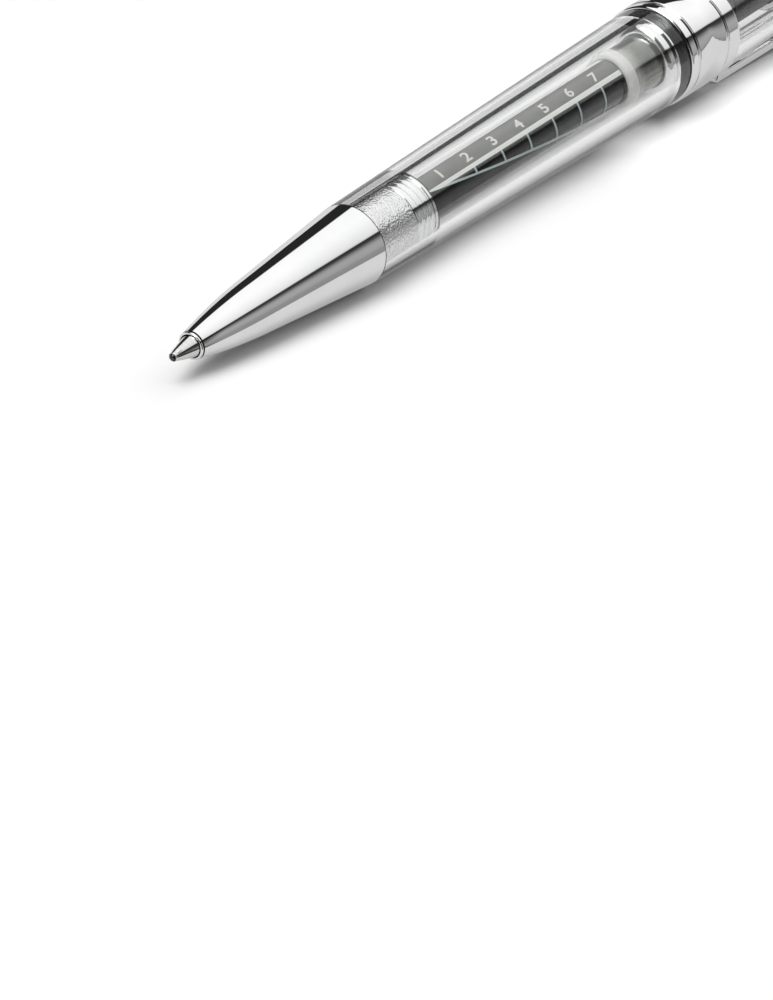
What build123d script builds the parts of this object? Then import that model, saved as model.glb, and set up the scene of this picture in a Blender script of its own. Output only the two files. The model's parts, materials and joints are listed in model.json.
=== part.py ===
from build123d import *
import math
import os

# Refillable twist-action ballpoint pen: chrome nose, clear barrel, refill with an ink gauge,
# chrome centre band, clear upper barrel over the twist mechanism, clip and finial.
# Lengths are in millimetres. The pen is drawn along X, with the end of the ball at zero.
# A name that ends in _at is a distance along X from the end of the ball.

# Fits and cutters
overrun = 1.0  # how far a cutter runs past the face that it cuts
running_gap = 0.06  # radial room between pieces that turn or slide on each other
fixed_gap = 0.02  # radial room between pieces that are glued or screwed together
face_gap = 0.03  # room between end faces that meet
seam_gap = 0.06  # hairline between the nose and the barrel
pick_tolerance = 0.001  # how near an edge lies to the place that picks it

# Outside of the pen, from front to rear
tip_reach = 3.5  # from the ball's end to the rim of the nose
nose_length = 30.7
refill_length = 98.0  # a standard long refill
refill_setback = 1.56  # from the refill's rear end to the barrel's rear face
glide_ring_length = 0.46
band_length = 11.7
upper_length = 28.2
clip_plate = 0.9
finial_length = 6.3
seam_radius = 5.1
barrel_rear_radius = 6.64
band_radius = 6.9
upper_front_radius = 6.7
upper_rear_radius = 6.2

# Ball and metal point of the refill
ball_radius = 0.5
ball_proud = 0.3
ball_gap = 0.02
socket_lip_wall = 0.06
point_cone_length = 3.3
point_radius = 1.36
point_length = 11.6  # from the ball's end to the shoulder behind the point
point_stem_radius = 1.0
point_stem_length = 2.6
ink_channel_radius = 0.2

# Refill body
refill_radius = 3.0
refill_wall = 0.5
refill_neck_radius = 1.55
refill_neck_length = 10.3
refill_shoulder_length = 1.5
refill_spigot_length = 3.8
refill_channel_radius = 0.6
ink_setback = 6.8  # from the refill's rear end to the ink's rear face
follower_length = 2.6
plug_flange_length = 2.5
plug_length = 4.0
plug_notch = 0.8
plug_vent_radius = 0.5

# Printed sleeve on the refill, with its wedge-shaped gauge window
label_thickness = 0.08
label_length = 44.6
label_end_gap = 0.15
window_length = 38.2
window_rear_rim = 0.5
window_top = 1.91  # height of the window's straight edge over the axis
window_depth = 3.75  # from the straight edge to the wedge's low corner

# Nose cone
nose_hole_radius = 1.5
nose_hole_length = 7.5
lip_radius = 1.69
lip_length = 0.35
lip_round = 0.13
lip_groove_length = 0.1
lip_groove_depth = 0.1
ogive_front_radius = 1.73
ogive_rear_radius = 3.385
cone_length = 19.2  # straight rear part of the nose
spring_room_radius = 2.25
spring_room_length = 9.5
refill_room = 0.1
spigot_wall = 0.9
spigot_length = 11.4
spigot_plain_length = 7.1
spigot_groove_length = 0.5
spigot_groove_depth = 0.25

# Return spring
spring_wire_radius = 0.18
spring_turns = 8
spring_room = 0.15  # radial room between the spring and the wall round it
spring_end_gap = 0.08
spring_step_share = 1 / 24  # share of a turn between the points that the gap is measured on

# Clear barrel
barrel_rear_wall = 1.82
bush_seat_length = 1.3
bush_seat_step = 0.25
spigot_end_room = 0.4
shoulder_height = 0.23  # step in the bore behind the nose's spigot
barrel_edge = 0.12

# Milky cup on the refill's end
cup_wall = 0.6
cup_grip = 9.0  # length of the refill inside the cup
cup_floor = 2.15
cup_flange_height = 0.25
cup_flange_length = 1.6
cup_slide_gap = 0.1

# Rear bush: tube round the cup, seat in the barrel, bearing for the band, wall that holds the guide
bush_tube_wall = 0.88
bush_tube_reach = 1.66  # how far the tube stands out in front of its seat
bearing_radius = 4.9
bearing_length = 7.8
bush_wall = 1.2

# Twist mechanism
travel = 5.2  # how far the refill moves back
half_turn = 180.0  # degrees from writing to stowed
plunger_radius = 1.1
plunger_stud_radius = 0.8
plunger_stud_length = 1.6
plunger_tail = 7.5  # from the pin to the plunger's rear end
pin_radius = 0.45
pin_setback = 1.2  # from the band's rear face to the pin
guide_wall = 0.44
guide_tail = 13.0  # from the pin to the guide's rear end
guide_slot_gap = 0.08
cam_wall = 0.74
cam_front_room = 0.8
cam_slot_gap = 0.12
cam_grip = 4.2  # length of the cam held in the end bush

# Glide ring
glide_ring_radius = 6.45

# Centre band
band_lip_radius = 6.85
band_lip_length = 1.4
band_lip_round = 0.3
band_groove_length = 0.5
band_groove_depth = 0.3
band_drum_length = 6.6
band_rear_round = 0.25
band_tail_length = 4.1  # part of the band that holds the upper barrel
band_tail_wall = 1.0

# Upper barrel
upper_bore_radius = 5.0
upper_edge = 0.12

# End bush
end_bush_length = 13.0
end_bush_neck_radius = 3.4
end_bush_neck_length = 5.0
stud_radius = 1.9
stud_length = 7.0
stud_end_room = 0.5

# Clip
clip_ring_radius = 6.0
clip_hole_radius = 2.7
clip_length = 25.6  # from the plate to the front of the foot
clip_rear_width = 4.6
clip_front_width = 3.6
clip_arm_thickness = 1.1
clip_arm_gap = 1.3  # from the barrel's rear radius to the underside of the arm
clip_foot_length = 2.6
clip_foot_flat = 0.9
clip_foot_slope = 0.8
clip_foot_gap = 0.08
clip_bend_radius = 1.2
clip_inner_bend_radius = 0.35
clip_foot_radius = 0.3
clip_edge = 0.25

# Finial
finial_radius = 6.05
finial_rim_length = 0.9
finial_cove_depth = 0.35
finial_cove_length = 0.5

# Places along the axis
nose_front_at = tip_reach
nose_rear_at = nose_front_at + nose_length
barrel_front_at = nose_rear_at + seam_gap
barrel_rear_at = refill_length + refill_setback
ring_front_at = barrel_rear_at + face_gap
ring_rear_at = ring_front_at + glide_ring_length
band_front_at = ring_rear_at + face_gap
band_rear_at = band_front_at + band_length
upper_front_at = band_rear_at + face_gap
upper_rear_at = upper_front_at + upper_length
clip_front_at = upper_rear_at + face_gap
clip_rear_at = clip_front_at + clip_plate
finial_front_at = clip_rear_at + face_gap
pen_length = finial_front_at + finial_length
spring_seat_at = nose_front_at + nose_hole_length
neck_front_at = point_length + face_gap
shoulder_front_at = neck_front_at + refill_neck_length
tube_front_at = shoulder_front_at + refill_shoulder_length
ink_rear_at = refill_length - ink_setback
cup_front_at = refill_length - cup_grip
cup_rear_at = refill_length + face_gap + cup_floor
label_rear_at = cup_front_at - label_end_gap
label_front_at = label_rear_at - label_length
bush_seat_at = barrel_rear_at - bush_seat_length
bush_front_at = bush_seat_at - bush_tube_reach
bush_rear_at = barrel_rear_at + bearing_length
pin_at = band_rear_at + pin_setback
cam_front_at = bush_rear_at + cam_front_room
end_bush_front_at = upper_rear_at - end_bush_length

# Radii that follow from the fits
tube_bore_radius = refill_radius - refill_wall
label_radius = refill_radius + fixed_gap + label_thickness
spigot_bore_radius = label_radius + refill_room
spigot_radius = spigot_bore_radius + spigot_wall
barrel_front_bore = spigot_radius + running_gap
barrel_rear_bore = barrel_rear_radius - barrel_rear_wall
bush_seat_radius = barrel_rear_bore + bush_seat_step
cup_bore_radius = refill_radius + fixed_gap
cup_radius = cup_bore_radius + cup_wall
bush_bore_radius = cup_radius + cup_slide_gap
guide_bore_radius = plunger_radius + running_gap
guide_radius = guide_bore_radius + guide_wall
cam_bore_radius = guide_radius + running_gap
cam_radius = cam_bore_radius + cam_wall
upper_spigot_radius = band_radius - band_tail_wall
clip_arm_inner = upper_rear_radius + clip_arm_gap
clip_arm_outer = clip_arm_inner + clip_arm_thickness
spring_radius = spring_room_radius - spring_room - spring_wire_radius

# Underside of the upper barrel where the clip's foot meets it
clip_foot_at = clip_front_at - clip_length
clip_foot_share = (clip_foot_at + clip_foot_length - upper_front_at) / upper_length
clip_foot_inner = upper_front_radius + (upper_rear_radius - upper_front_radius) * clip_foot_share + clip_foot_gap

# How the pen lies: on the seam and on the clip's foot, or on the band's drum if that reaches lower
drum_front_at = band_front_at + band_lip_length + band_groove_length


def tilt_on_foot():
    """Angle at which a line under the seam also touches the round front corner of the clip's foot."""
    corner_angle = math.atan2(clip_arm_outer - clip_foot_inner, clip_foot_slope)
    reach = clip_foot_at + clip_foot_radius / math.tan(corner_angle / 2) - nose_rear_at
    drop = clip_arm_outer - clip_foot_radius - seam_radius
    return math.atan2(drop, reach) + math.asin(clip_foot_radius / math.hypot(reach, drop))


tilt_on_drum = math.atan((band_radius - seam_radius) / (drum_front_at - nose_rear_at))
tilt = max(tilt_on_foot(), tilt_on_drum)
tip_height = seam_radius * math.cos(tilt) - nose_rear_at * math.sin(tilt)


def turned(points):
    """Solid turned about the pen's axis from a closed outline of (place, radius) points."""
    return revolve(Plane.XZ * make_face(Polyline(*points, close=True)), Axis.X)


def tube(front, rear, bore, radius):
    return turned([(front, bore), (rear, bore), (rear, radius), (front, radius)])


def rod(front, rear, radius):
    return tube(front, rear, 0, radius)


def rims(piece, *places):
    """Round edges of a turned piece that lie at the given (place, radius) pairs."""
    circles = piece.edges().filter_by(GeomType.CIRCLE)
    return [
        edge
        for edge in circles
        for at, radius in places
        if abs(edge.arc_center.X - at) < pick_tolerance and abs(edge.radius - radius) < pick_tolerance
    ]


def tip_ball():
    return Pos(ball_radius, 0, 0) * Sphere(ball_radius)


def tip_cone():
    socket_radius = ball_radius + ball_gap
    lip_inner = math.sqrt(socket_radius**2 - (ball_radius - ball_proud) ** 2)
    cone_rear = ball_proud + point_cone_length
    stem_rear = point_length + point_stem_length
    body = turned(
        [
            (ball_proud, 0),
            (ball_proud, lip_inner + socket_lip_wall),
            (cone_rear, point_radius),
            (point_length, point_radius),
            (point_length, point_stem_radius),
            (stem_rear, point_stem_radius),
            (stem_rear, 0),
        ]
    )
    socket = Pos(ball_radius, 0, 0) * Sphere(socket_radius)
    return body - socket - rod(ball_radius, stem_rear + overrun, ink_channel_radius)


def refill_nose():
    spigot_rear = tube_front_at + refill_spigot_length
    body = turned(
        [
            (neck_front_at, 0),
            (neck_front_at, refill_neck_radius),
            (shoulder_front_at, refill_neck_radius),
            (shoulder_front_at, refill_radius),
            (tube_front_at - face_gap, refill_radius),
            (tube_front_at - face_gap, tube_bore_radius - fixed_gap),
            (spigot_rear, tube_bore_radius - fixed_gap),
            (spigot_rear, 0),
        ]
    )
    stem_room = rod(
        neck_front_at - overrun,
        point_length + point_stem_length + face_gap,
        point_stem_radius + fixed_gap,
    )
    return body - stem_room - rod(neck_front_at, spigot_rear + overrun, refill_channel_radius)


def refill_tube():
    rear = refill_length - plug_flange_length - face_gap
    return tube(tube_front_at, rear, tube_bore_radius, refill_radius)


def ink_column():
    front = tube_front_at + refill_spigot_length + face_gap
    return rod(front, ink_rear_at, tube_bore_radius - fixed_gap)


def ink_follower():
    front = ink_rear_at + face_gap
    return rod(front, front + follower_length, tube_bore_radius - fixed_gap)


def end_plug():
    """Rear plug of the refill, with crossed notches in its flange and a vent hole."""
    flange_front = refill_length - plug_flange_length
    body = rod(refill_length - plug_length, refill_length, tube_bore_radius - fixed_gap)
    body += rod(flange_front, refill_length, refill_radius)
    notch = Box(plug_notch, 2 * (refill_radius + overrun), plug_notch)
    for turn in (0, 90):
        body -= Pos(refill_length - plug_notch / 2, 0, 0) * Rot(turn, 0, 0) * notch
    return body - rod(refill_length - plug_length - overrun, refill_length + overrun, plug_vent_radius)


def level_label():
    """Printed sleeve; its wedge window faces the side and shows the ink."""
    sleeve = tube(label_front_at, label_rear_at, refill_radius + fixed_gap, label_radius)
    window_rear = label_rear_at - window_rear_rim
    wedge = Polyline(
        (window_rear - window_length, window_top),
        (window_rear, window_top),
        (window_rear, window_top - window_depth),
        close=True,
    )
    window = extrude(Plane.XZ * make_face(wedge), amount=label_radius + overrun)
    return sleeve - window


def nose_cone():
    """Chrome nose: lip, curved front, straight cone, and the spigot that screws into the barrel."""
    ogive_front = nose_front_at + lip_length + lip_groove_length
    cone_front = nose_rear_at - cone_length
    spigot_rear = nose_rear_at + spigot_length
    groove_front = nose_rear_at + spigot_plain_length
    groove_rear = groove_front + spigot_groove_length
    groove_radius = spigot_radius - spigot_groove_depth
    spring_room_rear = spring_seat_at + spring_room_length
    straight = Line((nose_rear_at, seam_radius), (cone_front, ogive_rear_radius))
    curved = TangentArc(straight @ 1, (ogive_front, ogive_front_radius), tangent=straight % 1)
    front = Polyline(
        curved @ 1,
        (ogive_front, lip_radius - lip_groove_depth),
        (nose_front_at + lip_length, lip_radius - lip_groove_depth),
        (nose_front_at + lip_length, lip_radius),
        (nose_front_at, lip_radius),
        (nose_front_at, nose_hole_radius),
        (spring_seat_at, nose_hole_radius),
        (spring_seat_at, spring_room_radius),
        (spring_room_rear, spring_room_radius),
        (spring_room_rear, spigot_bore_radius),
        (spigot_rear, spigot_bore_radius),
        (spigot_rear, spigot_radius),
        (groove_rear, spigot_radius),
        (groove_rear, groove_radius),
        (groove_front, groove_radius),
        (groove_front, spigot_radius),
        (nose_rear_at, spigot_radius),
        (nose_rear_at, seam_radius),
    )
    nose = revolve(Plane.XZ * make_face(straight + curved + front), Axis.X)
    return fillet(rims(nose, (nose_front_at, lip_radius)), lip_round)


def spring_path():
    """Helix along Z that the spring's wire follows, from one seat to the other."""
    length = shoulder_front_at - spring_seat_at - 2 * (spring_wire_radius + spring_end_gap)
    return Helix(pitch=length / spring_turns, height=length, radius=spring_radius)


def return_spring():
    path = spring_path()
    section = Plane(origin=path @ 0, z_dir=path % 0) * Circle(spring_wire_radius)
    wire = sweep(section, path, is_frenet=True)
    return Pos(spring_seat_at + spring_wire_radius + spring_end_gap, 0, 0) * Rot(0, 90, 0) * wire


def spring_gap():
    """Least gap between neighbouring turns, measured on points of the wire's path."""
    path = spring_path()
    turn = 1 / spring_turns
    steps = round((1 - turn) / (turn * spring_step_share))
    starts = [step * turn * spring_step_share for step in range(steps)]
    return min((path @ (start + turn) - path @ start).length for start in starts) - 2 * spring_wire_radius


def clear_barrel():
    seat_rear = nose_rear_at + spigot_length + spigot_end_room
    outline = [
        (barrel_front_at, barrel_front_bore),
        (seat_rear, barrel_front_bore),
        (seat_rear, barrel_front_bore - shoulder_height),
        (bush_seat_at - face_gap, barrel_rear_bore),
        (bush_seat_at - face_gap, bush_seat_radius),
        (barrel_rear_at, bush_seat_radius),
        (barrel_rear_at, barrel_rear_radius),
        (barrel_front_at, seam_radius),
    ]
    barrel = turned(outline)
    return fillet(rims(barrel, (barrel_rear_at, barrel_rear_radius)), barrel_edge)


def plunger_cup():
    flange_rear = cup_front_at + cup_flange_length
    body = rod(cup_front_at, cup_rear_at, cup_radius)
    body += rod(cup_front_at, flange_rear, cup_radius + cup_flange_height)
    body -= rod(cup_front_at - overrun, refill_length + face_gap, cup_bore_radius)
    return body - rod(cup_rear_at - plunger_stud_length, cup_rear_at + overrun, plunger_stud_radius + fixed_gap)


def rear_bush():
    """Bush glued in the barrel's rear end; the upper half turns on its bearing."""
    tube_radius = bush_bore_radius + bush_tube_wall
    wall_front = bush_rear_at - bush_wall
    guide_hole = guide_radius + fixed_gap
    return turned(
        [
            (bush_front_at, bush_bore_radius),
            (wall_front, bush_bore_radius),
            (wall_front, guide_hole),
            (bush_rear_at, guide_hole),
            (bush_rear_at, bearing_radius),
            (barrel_rear_at, bearing_radius),
            (barrel_rear_at, bush_seat_radius - fixed_gap),
            (bush_seat_at, bush_seat_radius - fixed_gap),
            (bush_seat_at, tube_radius),
            (bush_front_at, tube_radius),
        ]
    )


def glide_ring():
    return tube(ring_front_at, ring_rear_at, bearing_radius + fixed_gap, glide_ring_radius)


def plunger():
    """Rod that pushes the cup, with a stud at the front and a cross hole for the pin."""
    body = rod(cup_rear_at, pin_at + plunger_tail, plunger_radius)
    body += rod(cup_rear_at - plunger_stud_length + face_gap, cup_rear_at, plunger_stud_radius)
    hole = Cylinder(pin_radius + fixed_gap, 2 * (plunger_radius + overrun))
    return body - Pos(pin_at, 0, 0) * hole


def drive_pin():
    return Pos(pin_at, 0, 0) * Cylinder(pin_radius, 2 * (cam_radius - running_gap))


def guide_sleeve():
    """Tube with two straight slots that let the pin slide but not turn."""
    body = tube(bush_rear_at - bush_wall + face_gap, pin_at + guide_tail, guide_bore_radius, guide_radius)
    slot_sketch = SlotCenterToCenter(travel, 2 * (pin_radius + guide_slot_gap))
    slot = extrude(slot_sketch, amount=guide_radius + overrun, both=True)
    return body - Pos(pin_at + travel / 2, 0, 0) * slot


def cam_slot():
    """Slot that carries the pin back by its travel while the cam makes half a turn, drawn along Z."""
    middle = (cam_bore_radius + cam_radius) / 2
    depth = cam_wall + 2 * overrun
    width = 2 * (pin_radius + cam_slot_gap)
    path = Helix(pitch=travel * 360 / half_turn, height=travel, radius=middle, lefthand=True)
    section = Plane(origin=path @ 0, x_dir=(1, 0, 0), z_dir=path % 0) * Rectangle(depth, width)
    slot = sweep(section, path, is_frenet=True)
    end = Pos(middle, 0, 0) * Rot(0, 90, 0) * Cylinder(width / 2, depth)
    return slot + end + Pos(0, 0, travel) * Rot(0, 0, -half_turn) * end


def cam_sleeve():
    """Sleeve that turns with the upper half; its two helical slots drive the pin."""
    body = tube(cam_front_at, end_bush_front_at + cam_grip, cam_bore_radius, cam_radius)
    slot = Pos(pin_at, 0, 0) * Rot(0, 90, 0) * cam_slot()
    return body - slot - Rot(180, 0, 0) * slot


def centre_band():
    """Chrome band: front lip, grooves, plain drum, rear ring; turns on the bush and holds the upper barrel."""
    lip_rear = band_front_at + band_lip_length
    drum_rear = drum_front_at + band_drum_length
    groove_radius = band_radius - band_groove_depth
    tail_front = band_rear_at - band_tail_length
    band = turned(
        [
            (band_front_at, bearing_radius + running_gap),
            (tail_front, bearing_radius + running_gap),
            (tail_front, upper_spigot_radius + fixed_gap),
            (band_rear_at, upper_spigot_radius + fixed_gap),
            (band_rear_at, band_lip_radius),
            (drum_rear + band_groove_length, band_lip_radius),
            (drum_rear + band_groove_length, groove_radius),
            (drum_rear, groove_radius),
            (drum_rear, band_radius),
            (drum_front_at, band_radius),
            (drum_front_at, groove_radius),
            (lip_rear, groove_radius),
            (lip_rear, band_lip_radius),
            (band_front_at, band_lip_radius),
        ]
    )
    band = fillet(rims(band, (band_front_at, band_lip_radius)), band_lip_round)
    return fillet(rims(band, (band_rear_at, band_lip_radius)), band_rear_round)


def upper_barrel():
    spigot_front = band_rear_at - band_tail_length + face_gap
    barrel = turned(
        [
            (spigot_front, upper_bore_radius),
            (upper_rear_at, upper_bore_radius),
            (upper_rear_at, upper_rear_radius),
            (upper_front_at, upper_front_radius),
            (upper_front_at, upper_spigot_radius),
            (spigot_front, upper_spigot_radius),
        ]
    )
    return fillet(rims(barrel, (upper_rear_at, upper_rear_radius)), upper_edge)


def end_bush():
    """Plug in the upper barrel's rear end: holds the cam in front and the finial's stud behind."""
    radius = upper_bore_radius - fixed_gap
    neck_rear = end_bush_front_at + end_bush_neck_length
    body = rod(end_bush_front_at, neck_rear, end_bush_neck_radius)
    body += rod(neck_rear, upper_rear_at, radius)
    cam_room = rod(
        end_bush_front_at - overrun,
        end_bush_front_at + cam_grip + face_gap,
        cam_radius + fixed_gap,
    )
    stud_room = rod(
        finial_front_at - stud_length - stud_end_room,
        upper_rear_at + overrun,
        stud_radius + fixed_gap,
    )
    return body - cam_room - stud_room


def clip_arm():
    """Arm and foot of the clip, straight below the axis and tapered towards the foot."""
    root = -(clip_hole_radius + clip_ring_radius) / 2
    outline = FilletPolyline(
        (clip_rear_at, root),
        (clip_rear_at, -clip_arm_outer),
        (clip_foot_at, -clip_arm_outer),
        (clip_foot_at + clip_foot_slope, -clip_foot_inner),
        (clip_foot_at + clip_foot_slope + clip_foot_flat, -clip_foot_inner),
        (clip_foot_at + clip_foot_length, -clip_arm_inner),
        (clip_front_at, -clip_arm_inner),
        (clip_front_at, root),
        radius=[
            0,
            clip_bend_radius,
            clip_foot_radius,
            clip_foot_radius,
            clip_foot_radius,
            clip_inner_bend_radius,
            clip_inner_bend_radius,
            0,
        ],
        close=True,
    )
    arm = extrude(Plane.XZ * make_face(outline), amount=clip_rear_width, both=True)
    plan = Polyline(
        (clip_foot_at - overrun, clip_front_width / 2),
        (clip_foot_at, clip_front_width / 2),
        (clip_front_at, clip_rear_width / 2),
        (clip_rear_at + overrun, clip_rear_width / 2),
        (clip_rear_at + overrun, -clip_rear_width / 2),
        (clip_front_at, -clip_rear_width / 2),
        (clip_foot_at, -clip_front_width / 2),
        (clip_foot_at - overrun, -clip_front_width / 2),
        close=True,
    )
    return arm & extrude(make_face(plan), amount=-(clip_arm_outer + overrun))


def clip():
    arm = clip_arm()
    long_edges = arm.edges().group_by(Axis.Z)[0].filter_by(GeomType.LINE)
    arm = chamfer(long_edges, clip_edge)
    ring = tube(clip_front_at, clip_rear_at, clip_hole_radius, clip_ring_radius)
    hole = rod(clip_front_at - overrun, clip_rear_at + overrun, clip_hole_radius)
    return arm + ring - hole


def finial():
    """Domed end cap, with a cove behind its rim and a stud that screws into the end bush."""
    cove_front = finial_front_at + finial_rim_length
    dome_front = cove_front + finial_cove_length
    dome_height = pen_length - dome_front
    dome_radius = (dome_height**2 + finial_radius**2) / (2 * dome_height)
    half_way = math.asin(finial_radius / dome_radius) / 2
    dome = ThreePointArc(
        (dome_front, finial_radius),
        (pen_length - dome_radius * (1 - math.cos(half_way)), dome_radius * math.sin(half_way)),
        (pen_length, 0),
    )
    stud_front = finial_front_at - stud_length
    boss_front = upper_rear_at + face_gap
    rest = Polyline(
        dome @ 1,
        (stud_front, 0),
        (stud_front, stud_radius),
        (boss_front, stud_radius),
        (boss_front, clip_hole_radius - fixed_gap),
        (finial_front_at, clip_hole_radius - fixed_gap),
        (finial_front_at, finial_radius),
        (cove_front, finial_radius),
        (cove_front, finial_radius - finial_cove_depth),
        (dome_front, finial_radius - finial_cove_depth),
        dome @ 0,
    )
    return revolve(Plane.XZ * make_face(dome + rest), Axis.X)


def placed(piece):
    """Lays the pen down with its rear end raised by the tilt, centred over the origin."""
    centre = -pen_length / 2 * math.cos(tilt)
    return Location((centre, 0, tip_height), (0, -math.degrees(tilt), 0)) * piece


pieces = [
    tip_ball,
    tip_cone,
    refill_nose,
    refill_tube,
    ink_column,
    ink_follower,
    end_plug,
    level_label,
    nose_cone,
    return_spring,
    clear_barrel,
    plunger_cup,
    rear_bush,
    glide_ring,
    plunger,
    drive_pin,
    guide_sleeve,
    cam_sleeve,
    centre_band,
    upper_barrel,
    end_bush,
    clip,
    finial,
]

os.makedirs("parts", exist_ok=True)
for make in pieces:
    export_step(placed(make()), f"parts/{make.__name__}.step")

print(f"pen length {pen_length:.2f}, tilt {math.degrees(tilt):.3f} degrees, tip height {tip_height:.3f}")
print(f"gap between spring turns {spring_gap():.2f}")
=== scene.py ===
import json
import math

import bpy
from mathutils import Matrix, Vector


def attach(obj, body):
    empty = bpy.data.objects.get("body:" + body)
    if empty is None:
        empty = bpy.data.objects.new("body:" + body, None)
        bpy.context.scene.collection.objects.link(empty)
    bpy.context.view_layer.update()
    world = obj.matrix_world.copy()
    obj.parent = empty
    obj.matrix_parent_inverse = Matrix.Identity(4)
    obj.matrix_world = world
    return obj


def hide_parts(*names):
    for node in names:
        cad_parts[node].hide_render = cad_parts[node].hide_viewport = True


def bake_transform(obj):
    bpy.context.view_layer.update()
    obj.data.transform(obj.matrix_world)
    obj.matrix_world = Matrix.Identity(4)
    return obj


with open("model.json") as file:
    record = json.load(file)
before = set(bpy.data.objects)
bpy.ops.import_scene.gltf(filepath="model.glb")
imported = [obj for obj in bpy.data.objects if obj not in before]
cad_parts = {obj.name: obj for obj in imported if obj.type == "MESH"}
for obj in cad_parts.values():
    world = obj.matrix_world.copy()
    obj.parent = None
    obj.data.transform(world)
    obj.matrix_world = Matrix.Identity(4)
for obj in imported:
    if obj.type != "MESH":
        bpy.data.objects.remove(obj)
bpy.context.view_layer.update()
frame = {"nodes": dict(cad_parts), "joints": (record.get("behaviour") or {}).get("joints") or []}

# Sizes on the pen are in millimetres. Places run along its axis from the front of the ball, and radii go out
# from that axis.
MM = 0.001
FULL_TURN = 2 * math.pi
TURN_STEPS = 144
ROUND_STEPS = 4
KEPT_FLAT = 0.9
WELD = 1e-7
ON_FACE = 0.001
SMOOTH_BELOW = math.radians(32)
SHARP_ABOVE = math.radians(40)

# The pen's own frame: X along the axis from the tip, Y across, Z up
joints = {j["name"]: j for j in frame["joints"]}
BALL_RADIUS = 0.5
along = Vector(joints["refill_slide"]["axis"]).normalized()
across = Vector((0, 1, 0))
upward = along.cross(across)
tip = Vector(joints["ball_roll"]["pos_m"]) - along * BALL_RADIUS * MM
pen = Matrix((along, across, upward)).transposed().to_4x4()
pen.translation = tip


def reach(node):
    """Front place, rear place and largest radius of a CAD node."""
    to_pen = pen.inverted()
    points = [to_pen @ v.co / MM for v in frame["nodes"][node].data.vertices]
    places = [p.x for p in points]
    return min(places), max(places), max(math.hypot(p.y, p.z) for p in points)


# Sizes

# Rounds of edges, from crisp turned ones to soft moulded ones
HAIR_EDGE, FINE_EDGE, THIN_EDGE, BROKEN_EDGE = 0.04, 0.05, 0.08, 0.1
TURNED_EDGE, MILD_EDGE, SOFT_EDGE = 0.12, 0.15, 0.2

nose_front, nose_end, seam_radius = reach("nose_cone")
NOSE_HOLE = 1.45
LIP_RADIUS, LIP_END, LIP_ROUND = 1.69, 3.76, 0.13
LIP_GROOVE_RADIUS, LIP_GROOVE_END = 1.59, 3.95
OGIVE_RADIUS, OGIVE_END, OGIVE_END_RADIUS, OGIVE_STEPS = 1.73, 15.0, 3.385, 24
SEAM = 34.2
SPIGOT_RADIUS, SPIGOT_BORE = 4.1, 3.2
SPIGOT_GROOVE, SPIGOT_GROOVE_END, SPIGOT_GROOVE_DEPTH = 41.5, 41.75, 0.12
THREAD_ROOT, THREAD_PITCH, THREAD_MARGIN = 4.04, 1.03, 0.45
THREAD_RIDGE, THREAD_SINK, THREAD_STRETCH = 0.06, 0.02, 6.5
THREAD_SIDES, THREAD_STEPS = 16, 96
RIM, RIM_GROOVE, RIM_ROUND = 0.6, 0.14, 0.06
SPRING_SEAT, SPRING_ROOM_END, SPRING_ROOM_RADIUS = 11.0, 20.5, 2.25

tube_front, tube_rear, tube_radius = reach("refill_tube")
TUBE_BORE = 2.5
ink_front, ink_rear, _ = reach("ink_column")
INK_WETS = 0.02

label_front, label_rear, label_radius = reach("level_label")
LABEL_WALL = 0.08
WINDOW_FRONT, WINDOW_REAR = 50.15, 88.35
WINDOW_TOP, WINDOW_LOW = 1.97, -1.84
WINDOW_SLOPE = (WINDOW_LOW - WINDOW_TOP) / (WINDOW_REAR - WINDOW_FRONT)
GAUGE_BARS = (55.8, 61.6, 67.2, 72.8, 78.4, 84.0)
BAR_WIDTH = 0.25
EDGE_LINE, EDGE_GROWTH = 0.17, 0.00026
PALE_FROM, PALE_TO = -30.0, 130.0
BAND_FROM, BAND_TOP_TWIST, BAND_TO, BAND_LOW_TWIST = 3.1, 0.27, 42.1, 0.08
NUMBER_PLACES = (50.2, 55.9, 61.5, 67.2, 72.9, 78.5, 84.2)
NUMBER_ANGLE = 24.0
NUMBER_HEIGHT, NUMBER_STRETCH = 1.85, 1.55
NUMBER_BOLD, NUMBER_THICKNESS, NUMBER_CUTS = 0.04, 0.012, 3
NUMBER_START, NUMBER_CLEAR = 1.0, 0.002

SLEEVE_SHADE = (90.3, 92.7)

barrel_front, barrel_rear, barrel_radius = reach("clear_barrel")
BARREL_FRONT_BORE, BARREL_SHOULDER, BARREL_SHOULDER_BORE = 4.16, 45.64, 3.83
BARREL_REAR_BORE, BARREL_SEAT_RADIUS, BARREL_SEAT = 4.64, 5.07, 98.23


# Modelling


def select_only(piece):
    bpy.ops.object.select_all(action="DESELECT")
    piece.select_set(True)
    bpy.context.view_layer.objects.active = piece


def applied(piece, modifier):
    select_only(piece)
    bpy.ops.object.modifier_apply(modifier=modifier.name)


def rounded(points):
    """Outline in which a corner given with a third number is rounded by that radius.

    An extra point beside each round keeps long straight sides from shading as if they were bent.
    """
    path = []
    for i, point in enumerate(points):
        corner = Vector(point[:2])
        if len(point) == 2:
            path.append(corner)
            continue
        to_last = Vector(points[i - 1][:2]) - corner
        to_next = Vector(points[(i + 1) % len(points)][:2]) - corner
        before, after = to_last.normalized(), to_next.normalized()
        half = before.angle(after) / 2
        back = point[2] / math.tan(half)
        centre = corner + (before + after).normalized() * point[2] / math.sin(half)
        start = corner + before * back - centre
        end = corner + after * back - centre
        sweep = math.atan2(start.cross(end), start.dot(end))
        beside = back + KEPT_FLAT * point[2]
        if to_last.length > 2 * beside:
            path.append(corner + before * beside)
        for k in range(ROUND_STEPS + 1):
            path.append(centre + Matrix.Rotation(sweep * k / ROUND_STEPS, 2) @ start)
        if to_next.length > 2 * beside:
            path.append(corner + after * beside)
    return path


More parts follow.
